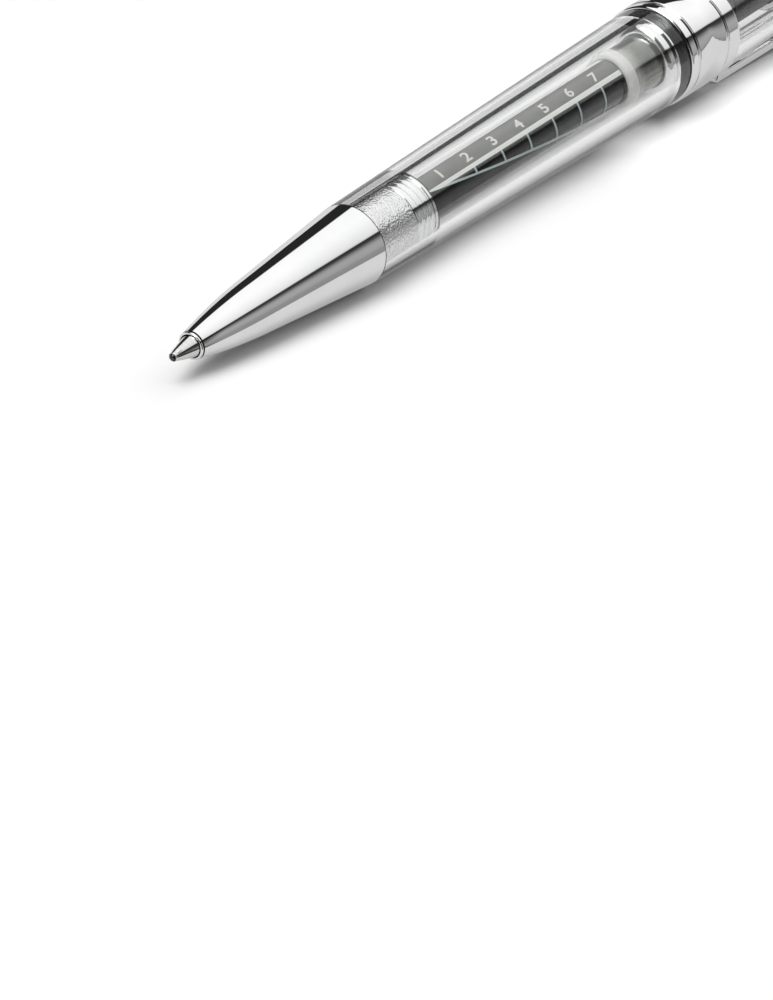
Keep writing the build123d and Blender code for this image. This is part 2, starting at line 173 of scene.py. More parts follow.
def tangent_arc(start, heading, end, steps):
    """Points of the arc that leaves start along heading and ends at end, without its two ends."""
    start, end = Vector(start), Vector(end)
    heading = Vector(heading).normalized()
    chord = end - start
    side = Vector((-heading.y, heading.x))
    centre = start + side * chord.length_squared / (2 * side.dot(chord))
    a, b = start - centre, end - centre
    sweep = math.atan2(a.cross(b), a.dot(b))
    return [tuple(centre + Matrix.Rotation(sweep * k / steps, 2) @ a) for k in range(1, steps)]


def drawn(name, outline):
    """Mesh in edit mode that holds a closed outline of (place, radius) points, in the XZ plane."""
    bpy.ops.object.select_all(action="DESELECT")
    bpy.ops.mesh.primitive_plane_add(size=MM)
    piece = bpy.context.object
    piece.name = piece.data.name = name
    bpy.ops.object.mode_set(mode="EDIT")
    bpy.ops.mesh.merge(type="CENTER")
    bpy.ops.transform.translate(value=(outline[0][0] * MM, 0, outline[0][1] * MM))
    for a, b in zip(outline, [*outline[1:], outline[0]]):
        step = ((b[0] - a[0]) * MM, 0, (b[1] - a[1]) * MM)
        bpy.ops.mesh.extrude_vertices_move(TRANSFORM_OT_translate={"value": step})
    bpy.ops.mesh.select_all(action="SELECT")
    bpy.ops.mesh.remove_doubles(threshold=WELD)
    return piece


def closed_up():
    """Welds the mesh in edit mode, turns its faces outward and leaves edit mode."""
    bpy.ops.mesh.select_all(action="SELECT")
    bpy.ops.mesh.remove_doubles(threshold=WELD)
    bpy.ops.mesh.normals_make_consistent(inside=False)
    bpy.ops.object.mode_set(mode="OBJECT")


def turned(name, points, steps=TURN_STEPS):
    """Piece turned about the pen's axis from a closed outline."""
    piece = drawn(name, rounded(points))
    bpy.ops.mesh.spin(steps=steps, angle=FULL_TURN, center=(0, 0, 0), axis=(1, 0, 0))
    closed_up()
    return piece


def prism(name, points, low, high):
    """Piece pushed out across the pen, from Y low to Y high, from a closed outline."""
    piece = drawn(name, rounded(points))
    bpy.ops.mesh.edge_face_add()
    bpy.ops.transform.translate(value=(0, low * MM, 0))
    bpy.ops.mesh.extrude_region_move(TRANSFORM_OT_translate={"value": (0, (high - low) * MM, 0)})
    closed_up()
    return piece


def coil(name, sides, section, radius, front, pitch, turns, steps, stretch=1.0):
    """Wire or ridge wound round the pen's axis, with capped ends."""
    bpy.ops.object.select_all(action="DESELECT")
    bpy.ops.mesh.primitive_circle_add(vertices=sides, radius=section * MM, fill_type="NOTHING")
    piece = bpy.context.object
    piece.name = piece.data.name = name
    bpy.ops.object.mode_set(mode="EDIT")
    bpy.ops.mesh.select_all(action="SELECT")
    bpy.ops.transform.resize(value=(stretch, 1, 1))
    bpy.ops.transform.rotate(value=-math.pi / 2, orient_axis="X", center_override=(0, 0, 0))
    bpy.ops.transform.translate(value=(front * MM, 0, radius * MM))
    bpy.ops.object.mode_set(mode="OBJECT")
    screw = piece.modifiers.new("wind", "SCREW")
    screw.axis = "X"
    screw.angle = FULL_TURN * turns
    screw.screw_offset = pitch * turns * MM
    screw.steps = screw.render_steps = int(steps * turns)
    screw.use_merge_vertices = False
    applied(piece, screw)
    bpy.ops.object.mode_set(mode="EDIT")
    bpy.ops.mesh.select_all(action="SELECT")
    bpy.ops.mesh.fill_holes(sides=sides)
    closed_up()
    return piece


def cut(piece, cutter, operation="DIFFERENCE"):
    """Cuts a second piece out of the first, or joins it on, and removes the second.

    The solver leaves an empty material slot, which is cleared so that the piece can take its finish.
    """
    change = piece.modifiers.new("cut", "BOOLEAN")
    change.operation = operation
    change.solver = "MANIFOLD"
    change.object = cutter
    applied(piece, change)
    piece.data.materials.clear()
    bpy.data.objects.remove(cutter)


def eased(piece, width, segments):
    """Rounds the sharp edges of a piece."""
    ease = piece.modifiers.new("ease", "BEVEL")
    ease.width = width * MM
    ease.segments = segments
    ease.limit_method = "ANGLE"
    ease.angle_limit = SHARP_ABOVE
    applied(piece, ease)


def laid(piece):
    """Lays a finished piece into the pen's place, with that place in its mesh."""
    select_only(piece)
    bpy.ops.object.transform_apply(location=True, rotation=True, scale=True)
    piece.matrix_world = pen
    bpy.ops.object.transform_apply(location=True, rotation=True, scale=True)
    bpy.ops.object.shade_smooth_by_angle(angle=SMOOTH_BELOW)


def seated(piece, body, finish, slot, *stands_for):
    """Lays a finished piece into the pen's place and hangs it on its CAD body."""
    laid(piece)
    if not piece.data.materials:
        piece.data.materials.append(finish)
    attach(piece, body)
    if stands_for:
        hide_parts(*stands_for)


# Materials

METAL = {"Metallic": 1.0}
PLASTIC = {"IOR": 1.5}
EVEN = (1, 1, 1)
GRAIN_DETAIL, GRAIN_LOW, GRAIN_HIGH = 3.0, 0.35, 0.65


def material(name, settings):
    """New material with plain values on its shader; returns it, its node tree and that shader."""
    made = bpy.data.materials.new(name)
    made.use_nodes = True
    shader = made.node_tree.nodes["Principled BSDF"]
    for socket, value in settings.items():
        shader.inputs[socket].default_value = value
    return made, made.node_tree, shader


def feed(tree, socket, value):
    """Links a node's output to a socket, or sets the socket to a plain value."""
    if hasattr(value, "links"):
        tree.links.new(value, socket)
    else:
        socket.default_value = value


def add(tree, kind, settings=None, **options):
    made = tree.nodes.new(kind)
    for option, value in options.items():
        setattr(made, option, value)
    for socket, value in (settings or {}).items():
        feed(tree, made.inputs[socket], value)
    return made


def maths(tree, operation, *values):
    node = add(tree, "ShaderNodeMath", operation=operation)
    for socket, value in zip(node.inputs, values):
        feed(tree, socket, value)
    return node.outputs[0]


def both(tree, first, second):
    """Share that is left where two shares hold together."""
    return maths(tree, "MULTIPLY", first, second)


def opposite(tree, share):
    return maths(tree, "SUBTRACT", 1.0, share)


def between(tree, value, low, high, start=GRAIN_LOW, end=GRAIN_HIGH):
    """Value spread from low to high as it goes from start to end."""
    spread = add(
        tree,
        "ShaderNodeMapRange",
        {"Value": value, "From Min": start, "From Max": end, "To Min": low, "To Max": high},
    )
    return spread.outputs["Result"]


def blended(tree, share, first, second):
    """Colour that goes from the first to the second as share goes from 0 to 1."""
    mix = add(tree, "ShaderNodeMix", data_type="RGBA")
    sockets = [s for s in mix.inputs if s.enabled]
    for socket, value in zip(sockets, (share, first, second)):
        plain_colour = socket.type == "RGBA" and not hasattr(value, "links")
        feed(tree, socket, (*value, 1) if plain_colour else value)
    return next(s for s in mix.outputs if s.enabled)


def grey(level):
    return (level, level, level)


def on_pen(tree, stretch=EVEN):
    """Place on the pen in millimetres: x along the axis from the tip, y across, z up."""
    coordinates = add(tree, "ShaderNodeTexCoord")
    return add(
        tree,
        "ShaderNodeMapping",
        {
            "Vector": coordinates.outputs["Object"],
            "Location": tip,
            "Rotation": pen.to_euler(),
            "Scale": [MM * s for s in stretch],
        },
        vector_type="TEXTURE",
    ).outputs["Vector"]


def grain(tree, size, stretch=EVEN):
    """Noise between 0 and 1 with patches of about that size in millimetres."""
    settings = {"Vector": on_pen(tree, stretch), "Scale": 1 / size, "Detail": GRAIN_DETAIL}
    return add(tree, "ShaderNodeTexNoise", settings).outputs["Fac"]


def tinted(tree, shader, first, second, size, stretch=EVEN):
    share = between(tree, grain(tree, size, stretch), 0, 1)
    feed(tree, shader.inputs["Base Color"], blended(tree, share, first, second))


def worn(tree, shader, low, high, size, stretch=EVEN):
    feed(tree, shader.inputs["Roughness"], between(tree, grain(tree, size, stretch), low, high))


def bumpy(tree, shader, height, depth):
    bump = add(tree, "ShaderNodeBump", {"Height": height, "Strength": 1.0, "Distance": depth * MM})
    feed(tree, shader.inputs["Normal"], bump.outputs["Normal"])


def surfaced(tree, seen):
    feed(tree, tree.nodes["Material Output"].inputs["Surface"], seen)


def patchy(name, settings, tint, wear):
    """Finish that wanders between two tints, and between two roughnesses, in patches of given sizes."""
    made, tree, shader = material(name, settings)
    tinted(tree, shader, *tint)
    worn(tree, shader, *wear)
    return made


def turned_metal(name, first, second, low, high):
    """Metal with the fine rings that turning leaves."""
    return patchy(name, METAL, (first, second, 0.12, (1, 60, 60)), (low, high, 0.3, (1, 20, 20)))


def grained_chrome():
    """Chrome with the rough grain on the nose's spigot."""
    made, tree, shader = material("grained_chrome", METAL)
    tinted(tree, shader, grey(0.82), grey(0.9), 1.0)
    worn(tree, shader, 0.05, 0.12, 0.8)
    cells_per_mm, depth = 3.6, 0.06
    cells = add(tree, "ShaderNodeTexVoronoi", {"Vector": on_pen(tree), "Scale": cells_per_mm})
    bumpy(tree, shader, cells.outputs["Distance"], depth)
    return made


def clear_acrylic():
    """Clear plastic; light on its way to a dull surface passes it unbent and a little weakened."""
    made, tree, shader = material("clear_acrylic", {"Transmission Weight": 1.0, "IOR": 1.49})
    tinted(tree, shader, (0.985, 0.99, 0.99), grey(0.995), 9.0)
    worn(tree, shader, 0.0, 0.006, 2.0)
    passed_on = 0.88
    passing = add(tree, "ShaderNodeBsdfTransparent", {"Color": (*grey(passed_on), 1)}).outputs[0]
    paths = add(tree, "ShaderNodeLightPath").outputs
    seen = shader.outputs[0]
    for ray in ("Is Shadow Ray", "Is Diffuse Ray"):
        seen = add(tree, "ShaderNodeMixShader", {0: paths[ray], 1: seen, 2: passing}).outputs[0]
    surfaced(tree, seen)
    return made


def shaded_sleeve():
    """Milky sleeve that grows dark and glossy towards the metal behind it."""
    made, tree, shader = material("shaded_sleeve", PLASTIC)
    s = add(tree, "ShaderNodeSeparateXYZ", {"Vector": on_pen(tree)}).outputs["X"]
    rearward = between(tree, s, 0, 1, *SLEEVE_SHADE)
    wear = between(tree, grain(tree, 2.0), 0, 1)
    pale = blended(tree, wear, (0.66, 0.67, 0.6), (0.72, 0.73, 0.66))
    dark = blended(tree, wear, (0.205, 0.213, 0.193), (0.246, 0.254, 0.234))
    feed(tree, shader.inputs["Base Color"], blended(tree, rearward, pale, dark))
    feed(tree, shader.inputs["Metallic"], between(tree, rearward, 0.1, 0.95, 0, 1))
    worn(tree, shader, 0.1, 0.16, 1.0)
    return made


def printed_film():
    """Label print: grey band, pale borders round the gauge, glossy black elsewhere."""
    made, tree, shader = material("printed_film", {**PLASTIC, "Specular IOR Level": 0.2})
    s, y, z = add(tree, "ShaderNodeSeparateXYZ", {"Vector": on_pen(tree)}).outputs
    angle = maths(tree, "DEGREES", maths(tree, "ARCTAN2", maths(tree, "MULTIPLY", y, -1.0), z))
    along_window = maths(tree, "SUBTRACT", s, WINDOW_FRONT)
    from_top = maths(tree, "MULTIPLY_ADD", along_window, BAND_TOP_TWIST, angle)
    from_low = maths(tree, "MULTIPLY_ADD", along_window, BAND_LOW_TWIST, angle)
    # The pale line below the window follows its slope and widens towards the rear
    edge = maths(tree, "MULTIPLY_ADD", along_window, WINDOW_SLOPE, WINDOW_TOP - EDGE_LINE)
    squared = maths(tree, "MULTIPLY", along_window, along_window)
    edge = maths(tree, "MULTIPLY_ADD", squared, -EDGE_GROWTH, edge)
    above_edge = opposite(tree, maths(tree, "GREATER_THAN", edge, z))
    below_top = maths(tree, "LESS_THAN", z, WINDOW_TOP)
    behind = both(tree, maths(tree, "GREATER_THAN", s, WINDOW_REAR - BAR_WIDTH), below_top)
    lit = both(tree, maths(tree, "GREATER_THAN", angle, PALE_FROM), above_edge)
    lit = both(tree, lit, maths(tree, "LESS_THAN", angle, PALE_TO))
    lit = both(tree, lit, opposite(tree, behind))
    below_band_top = maths(tree, "GREATER_THAN", from_top, BAND_FROM)
    band = both(tree, below_band_top, maths(tree, "LESS_THAN", from_low, BAND_TO))
    above_band = maths(tree, "LESS_THAN", from_top, BAND_FROM)
    wear = between(tree, grain(tree, 1.5, (2, 1, 1)), 0, 1)
    pale = blended(tree, wear, (0.9, 0.93, 0.87), (0.94, 0.96, 0.91))
    pale = blended(tree, above_band, pale, grey(0.95))
    pale = blended(tree, below_top, pale, (0.58, 0.67, 0.67))
    band_grey = blended(tree, wear, (0.18, 0.18, 0.166), (0.21, 0.21, 0.195))
    ground = blended(tree, wear, grey(0.003), (0.006, 0.007, 0.007))
    printed = blended(tree, band, pale, band_grey)
    feed(tree, shader.inputs["Base Color"], blended(tree, lit, ground, printed))
    worn(tree, shader, 0.05, 0.09, 1.0)
    return made


chrome = patchy("polished_chrome", METAL, ((0.91, 0.912, 0.915), grey(0.94), 6.0), (0.02, 0.05, 1.5))
rough_chrome = grained_chrome()
acrylic = clear_acrylic()
tube_plastic = patchy(
    "clear_tube",
    {"Transmission Weight": 1.0, "IOR": 1.4},
    ((0.95, 0.96, 0.955), (0.97, 0.98, 0.97), 5.0),
    (0.02, 0.06, 1.0),
)
wet_ink = patchy(
    "wet_ink",
    {"Specular IOR Level": 0.05},
    (grey(0.002), (0.003, 0.006, 0.007), 4.0, (3, 1, 1)),
    (0.1, 0.2, 2.0),
)
grease = patchy(
    "cloudy_grease",
    {"IOR": 1.45, "Transmission Weight": 0.4},
    ((0.74, 0.74, 0.68), (0.84, 0.84, 0.78), 0.8),
    (0.2, 0.35, 0.6),
)
milky = patchy(
    "milky_plastic",
    {**PLASTIC, "Subsurface Weight": 0.35, "Subsurface Radius": (1.2, 1.2, 1.1), "Subsurface Scale": MM},
    ((0.86, 0.87, 0.82), (0.92, 0.93, 0.88), 2.0),
    (0.2, 0.3, 1.0),
)
sleeve_plastic = shaded_sleeve()
black = patchy(
    "black_plastic", PLASTIC, ((0.012, 0.012, 0.013), (0.022, 0.022, 0.024), 0.7), (0.14, 0.22, 0.5)
)
steel = patchy(
    "drawn_steel",
    METAL,
    ((0.52, 0.52, 0.53), (0.66, 0.66, 0.67), 0.25, (40, 1, 1)),
    (0.18, 0.32, 0.25, (40, 1, 1)),
)
nickel_silver = turned_metal("turned_nickel_silver", (0.74, 0.745, 0.725), (0.81, 0.815, 0.795), 0.06, 0.11)
brass = turned_metal("turned_brass", (0.72, 0.56, 0.27), (0.8, 0.65, 0.34), 0.15, 0.28)
inked_metal = patchy("inked_ball", METAL, ((0.02, 0.02, 0.022), (0.12, 0.12, 0.125), 0.4), (0.15, 0.3, 0.2))
film = printed_film()
white = patchy("white_print", PLASTIC, ((0.74, 0.75, 0.71), (0.8, 0.81, 0.78), 0.5), (0.35, 0.5, 0.4))


# Pieces


def make_nose():
    """Nose with a grained spigot and a dark groove behind its lip, and the spigot's thread."""
    slope = (OGIVE_END - SEAM, OGIVE_END_RADIUS - seam_radius)
    ogive = tangent_arc((OGIVE_END, OGIVE_END_RADIUS), slope, (LIP_GROOVE_END, OGIVE_RADIUS), OGIVE_STEPS)
    rim_front = nose_end - RIM
    nose = turned(
        "nose",
        [
            (nose_front, NOSE_HOLE),
            (nose_front, LIP_RADIUS, LIP_ROUND),
            (LIP_END, LIP_RADIUS, FINE_EDGE),
            (LIP_END, LIP_GROOVE_RADIUS),
            (LIP_GROOVE_END, LIP_GROOVE_RADIUS),
            (LIP_GROOVE_END, OGIVE_RADIUS),
            *reversed(ogive),
            (OGIVE_END, OGIVE_END_RADIUS),
            (SEAM, seam_radius, FINE_EDGE),
            (SEAM, SPIGOT_RADIUS),
            (SPIGOT_GROOVE, SPIGOT_RADIUS, THIN_EDGE),
            (SPIGOT_GROOVE, SPIGOT_RADIUS - SPIGOT_GROOVE_DEPTH),
            (SPIGOT_GROOVE_END, SPIGOT_RADIUS - SPIGOT_GROOVE_DEPTH),
            (SPIGOT_GROOVE_END, THREAD_ROOT),
            (rim_front, THREAD_ROOT, HAIR_EDGE),
            (rim_front, THREAD_ROOT - RIM_GROOVE),
            (rim_front + RIM_GROOVE, THREAD_ROOT - RIM_GROOVE),
            (rim_front + RIM_GROOVE, SPIGOT_RADIUS, HAIR_EDGE),
            (nose_end, SPIGOT_RADIUS, RIM_ROUND),
            (nose_end, SPIGOT_BORE, BROKEN_EDGE),
            (SPRING_ROOM_END, SPIGOT_BORE),
            (SPRING_ROOM_END, SPRING_ROOM_RADIUS),
            (SPRING_SEAT, SPRING_ROOM_RADIUS),
            (SPRING_SEAT, NOSE_HOLE),
        ],
    )
    for part_finish in (chrome, rough_chrome, black):
        nose.data.materials.append(part_finish)
    for face in nose.data.polygons:
        place = face.center.x / MM
        if SEAM < place < SPIGOT_GROOVE:
            face.material_index = 1
        elif LIP_END - ON_FACE < place < LIP_GROOVE_END + ON_FACE:
            face.material_index = 2
    seated(nose, "nose", chrome, "chrome", "nose_cone")
    turns = (rim_front - SPIGOT_GROOVE_END - 2 * THREAD_MARGIN) / THREAD_PITCH
    thread = coil(
        "nose_thread",
        THREAD_SIDES,
        THREAD_RIDGE,
        THREAD_ROOT - THREAD_SINK,
        SPIGOT_GROOVE_END + THREAD_MARGIN,
        THREAD_PITCH,
        turns,
        THREAD_STEPS,
        THREAD_STRETCH,
    )
    seated(thread, "nose", chrome, "chrome")


def make_point():
    front, rear, radius = reach("tip_cone")
    socket, lip, stem, cone_end, stem_from, channel = 0.52, 0.54, 1.0, 3.6, 11.6, 0.2
    crimp = ((0.75, 0.6), (0.8, 0.64))
    lip_round, cone_round, socket_steps = 0.02, 0.4, 8
    mouth = math.sqrt(socket**2 - (BALL_RADIUS - front) ** 2)
    start = math.atan2(channel, math.sqrt(socket**2 - channel**2))
    end = math.atan2(mouth, front - BALL_RADIUS)
    sphere = []
    for k in range(socket_steps + 1):
        a = start + (end - start) * k / socket_steps
        sphere.append((BALL_RADIUS + socket * math.cos(a), socket * math.sin(a)))
    point = turned(
        "point",
        [
            *sphere,
            (front, lip, lip_round),
            *crimp,
            (cone_end, radius, cone_round),
            (stem_from, radius, FINE_EDGE),
            (stem_from, stem),
            (rear, stem, BROKEN_EDGE),
            (rear, channel),
        ],
    )
    seated(point, "refill", nickel_silver, "nickel_silver", "tip_cone")


def make_refill_nose():
    front, rear, radius = reach("refill_nose")
    neck, stem_room, stem_end = 1.55, 1.02, 14.23
    shoulder, shoulder_end, spigot, channel = 21.93, 23.4, 2.48, 0.6
    piece = turned(
        "refill_front",
        [
            (front, stem_room),
            (front, neck, MILD_EDGE),
            (shoulder, neck),
            (shoulder, radius, MILD_EDGE),
            (shoulder_end, radius, BROKEN_EDGE),
            (shoulder_end, spigot),
            (rear, spigot, SOFT_EDGE),
            (rear, channel),
            (stem_end, channel),
            (stem_end, stem_room),
        ],
    )
    seated(piece, "refill", brass, "brass", "refill_nose")


def make_tube():
    """Refill tube, and the ink in it with its hollow rear surface."""
    tube = turned(
        "tube",
        [
            (tube_front, TUBE_BORE, THIN_EDGE),
            (tube_front, tube_radius, BROKEN_EDGE),
            (tube_rear, tube_radius, BROKEN_EDGE),
            (tube_rear, TUBE_BORE, THIN_EDGE),
        ],
    )
    seated(tube, "refill", tube_plastic, "clear_tube", "refill_tube")
    wet = TUBE_BORE + INK_WETS
    hollow, slope_depth, slope_radius, bottom_radius = 0.5, 0.6, 0.8, 0.4
    ink = turned(
        "ink",
        [
            (ink_front, 0),
            (ink_front, wet, SOFT_EDGE),
            (ink_rear, wet),
            (ink_rear - hollow * slope_depth, wet * slope_radius),
            (ink_rear - hollow, wet * bottom_radius),
            (ink_rear - hollow, 0),
        ],
    )
    seated(ink, "refill", wet_ink, "ink", "ink_column")


def make_label():
    """Label sleeve with the gauge's window cut through its camera side, one cell between each two bars."""
    inside = label_radius - LABEL_WALL
    label = turned(
        "label",
        [
            (label_front, inside),
            (label_front, label_radius),
            (label_rear, label_radius),
            (label_rear, inside),
        ],
    )
    ends = [WINDOW_FRONT, *GAUGE_BARS, WINDOW_REAR]
    cells = []
    for i, (a, b) in enumerate(zip(ends, ends[1:])):
        a = a + (BAR_WIDTH / 2 if i else 0)
        b = b - (BAR_WIDTH / 2 if i < len(GAUGE_BARS) else 0)
        low = [WINDOW_TOP + WINDOW_SLOPE * (x - WINDOW_FRONT) for x in (a, b)]
        corners = [(a, WINDOW_TOP), (b, WINDOW_TOP), (b, low[1])]
        if i:
            corners.append((a, low[0]))
        cells.append(prism("cell", corners, -2 * label_radius, 0))
    select_only(cells[0])
    for cell in cells:
        cell.select_set(True)
    bpy.ops.object.join()
    cut(label, cells[0])
    return label


def make_number(text, place, label):
    """Plain figure printed on the label's grey band."""
    bpy.ops.object.select_all(action="DESELECT")
    bpy.ops.object.text_add()
    figure = bpy.context.object
    figure.name = "gauge_number_" + text
    figure.data.body = text
    figure.data.size = NUMBER_HEIGHT * MM
    figure.data.align_x = figure.data.align_y = "CENTER"
    figure.data.offset = NUMBER_BOLD * MM
    bpy.ops.object.convert(target="MESH")
    bpy.ops.object.mode_set(mode="EDIT")
    bpy.ops.mesh.select_all(action="SELECT")
    bpy.ops.mesh.remove_doubles(threshold=WELD)
    bpy.ops.mesh.quads_convert_to_tris()
    bpy.ops.mesh.subdivide(number_cuts=NUMBER_CUTS)
    bpy.ops.object.mode_set(mode="OBJECT")
    turn = math.radians(NUMBER_ANGLE)
    out = Vector((0, -math.sin(turn), math.cos(turn)))
    rise = Vector((0, math.cos(turn), math.sin(turn)))
    lay = Matrix((Vector((NUMBER_STRETCH, 0, 0)), rise, out)).transposed().to_4x4()
    lay.translation = Vector((place * MM, 0, 0)) + out * (label_radius + NUMBER_START) * MM
    figure.matrix_world = lay
    bpy.context.view_layer.update()
    wrap = figure.modifiers.new("wrap", "SHRINKWRAP")
    wrap.wrap_method = "PROJECT"
    wrap.use_project_z = True
    wrap.use_negative_direction, wrap.use_positive_direction = True, False
    wrap.target = label
    wrap.offset = NUMBER_CLEAR * MM
    applied(figure, wrap)
    thick = figure.modifiers.new("thick", "SOLIDIFY")
    thick.thickness = NUMBER_THICKNESS * MM
    thick.offset = 1
    applied(figure, thick)
    seated(figure, "refill", white, "printed_film")


def make_barrel():
    """Clear barrel; its rear end face is blackened."""
    barrel = turned(
        "barrel",
        [
            (barrel_front, BARREL_FRONT_BORE),
            (BARREL_SHOULDER, BARREL_FRONT_BORE),
            (BARREL_SHOULDER, BARREL_SHOULDER_BORE),
            (BARREL_SEAT, BARREL_REAR_BORE),
            (BARREL_SEAT, BARREL_SEAT_RADIUS),
            (barrel_rear, BARREL_SEAT_RADIUS),
            (barrel_rear, barrel_radius, TURNED_EDGE),
            (barrel_front, seam_radius, HAIR_EDGE),
        ],
    )
    barrel.data.materials.append(acrylic)
    barrel.data.materials.append(black)
    for face in barrel.data.polygons:
        if face.center.x / MM > barrel_rear - ON_FACE:
            face.material_index = 1
    seated(barrel, "barrel", acrylic, "clear_acrylic", "clear_barrel")


def make_cup():
    """Cup on the refill's rear end, and the thin shaded sleeve on it."""
    front, rear, flange = reach("plunger_cup")
    flange_end, body, bore, floor_at, stud_from, stud = 90.6, 3.62, 3.02, 98.03, 98.58, 0.82
    flange_round, sleeve_wall, sleeve_gap = 0.65, 0.15, 0.02
    under_sleeve = body - sleeve_wall
    cup = turned(
        "cup",
        [
            (front, bore, TURNED_EDGE),
            (front, flange, flange_round),
            (flange_end, flange, SOFT_EDGE),
            (flange_end, under_sleeve),
            (rear, under_sleeve),
            (rear, stud),
            (stud_from, stud),
            (stud_from, 0),
            (floor_at, 0),
            (floor_at, bore),
        ],
    )
    seated(cup, "refill", milky, "milky_plastic", "plunger_cup")
    sleeve = turned(
        "cup_sleeve",
        [
            (flange_end + sleeve_gap, under_sleeve),
            (flange_end + sleeve_gap, body, THIN_EDGE),
            (rear, body, BROKEN_EDGE),
            (rear, under_sleeve),
        ],
    )
    seated(sleeve, "refill", sleeve_plastic, "milky_plastic")


def make_rear_bush():
    front, rear, seat = reach("rear_bush")
    tube_outer, bore, seat_front, bearing, hole, wall = 4.6, 3.72, 98.26, 4.9, 1.62, 1.2
    mouth_round = 0.7
    bush = turned(
        "rear_bearing",
        [
            (front, bore, THIN_EDGE),
            (front, tube_outer, mouth_round),
            (seat_front, tube_outer),
            (seat_front, seat, THIN_EDGE),
            (barrel_rear, seat),
            (barrel_rear, bearing),
            (rear, bearing, MILD_EDGE),
            (rear, hole),
            (rear - wall, hole),
            (rear - wall, bore),
        ],
    )
    seated(bush, "barrel", chrome, "chrome", "rear_bush")


def make_glide_ring():
    front, rear, radius = reach("glide_ring")
    inside = 4.92
    ring = turned(
        "glide",
        [
            (front, inside, FINE_EDGE),
            (front, radius, BROKEN_EDGE),
            (rear, radius, BROKEN_EDGE),
            (rear, inside, FINE_EDGE),
        ],
    )
    seated(ring, "barrel", black, "black_plastic", "glide_ring")


def make_band():
    """Centre band; every second row of points on its rear half is drawn in to make the flutes."""
    front, rear, drum = reach("centre_band")
    lip, groove, ring, lip_round, rear_round = 6.85, 6.6, 6.85, 0.3, 0.25
    lip_end, drum_front, drum_end, ring_front = 101.48, 101.98, 108.58, 109.08
    bore, tail_bore, tail_from = 4.96, 5.92, 107.68
    flute_front, flute_end, run_out, flute_depth, flutes = 105.2, 108.2, 0.2, 0.13, 72
    band = turned(
        "band",
        [
            (front, bore),
            (front, lip, lip_round),
            (lip_end, lip, TURNED_EDGE),
            (lip_end, groove),
            (drum_front, groove),
            (drum_front, drum, TURNED_EDGE),
            (flute_front, drum),
            (flute_front + run_out, drum),
            (flute_end - run_out, drum),
            (flute_end, drum),
            (drum_end, drum, TURNED_EDGE),
            (drum_end, groove),
            (ring_front, groove),
            (ring_front, ring, TURNED_EDGE),
            (rear, ring, rear_round),
            (rear, tail_bore),
            (tail_from, tail_bore),
            (tail_from, bore),
        ],
        steps=flutes * 2,
    )
    for vertex in band.data.vertices:
        x, y, z = vertex.co / MM
        in_flutes = flute_front + run_out / 2 < x < flute_end - run_out / 2
        row = round(math.degrees(math.atan2(y, z)) / (180 / flutes))
        vertex.select = in_flutes and math.hypot(y, z) > groove and row % 2 == 1
    for group in (band.data.edges, band.data.polygons):
        for item in group:
            item.select = False
    select_only(band)
    bpy.ops.object.mode_set(mode="EDIT")
    shrink = 1 - flute_depth / drum
    bpy.ops.transform.resize(value=(1, shrink, shrink), center_override=(0, 0, 0))
    bpy.ops.object.mode_set(mode="OBJECT")
    seated(band, "upper", chrome, "chrome", "centre_band")


def make_upper_barrel():
    front, rear, radius = reach("upper_barrel")
    seat_front, spigot, bore, rear_radius = 111.81, 5.9, 5.0, 6.2
    upper = turned(
        "upper_tube",
        [
            (front, bore),
            (rear, bore),
            (rear, rear_radius, TURNED_EDGE),
            (seat_front, radius, FINE_EDGE),
            (seat_front, spigot),
            (front, spigot, BROKEN_EDGE),
        ],
    )
    seated(upper, "upper", acrylic, "clear_acrylic", "upper_barrel")


def make_end_bush():
    front, rear, radius = reach("end_bush")
    cam_room, cam_room_end, neck, neck_end = 2.42, 131.24, 3.4, 132.01
    stud_room, stud_room_front = 1.92, 133.47
    bush = turned(
        "end_bearing",
        [
            (front, cam_room, BROKEN_EDGE),
            (front, neck, SOFT_EDGE),
            (neck_end, neck),
            (neck_end, radius, SOFT_EDGE),
            (rear, radius, BROKEN_EDGE),
            (rear, stud_room),
            (stud_room_front, stud_room),
            (stud_room_front, 0),
            (cam_room_end, 0),
            (cam_room_end, cam_room),
        ],
    )
    seated(bush, "upper", chrome, "chrome", "end_bush")


def make_finial():
    """End cap with a domed crown, a rim and its stud."""
    front, rear, radius = reach("finial")
    stud, boss, boss_front, cap_front = 1.9, 2.67, 140.04, 140.97
    rim_end, cove, cove_end, crown_steps = 141.87, 5.7, 142.37, 20
    height = rear - cove_end
    dome = (height**2 + radius**2) / (2 * height)
    spread = math.asin(radius / dome)
    crown = []
    for k in range(crown_steps, -1, -1):
        a = spread * k / crown_steps
        crown.append((rear - dome * (1 - math.cos(a)), dome * math.sin(a)))
    cap = turned(
        "end_cap",
        [
            (front, 0),
            (front, stud, SOFT_EDGE),
            (boss_front, stud),
            (boss_front, boss),
            (cap_front, boss),
            (cap_front, radius, MILD_EDGE),
            (rim_end, radius, TURNED_EDGE),
            (rim_end, cove),
            (cove_end, cove),
            *crown,
        ],
    )
    seated(cap, "upper", chrome, "chrome", "finial")


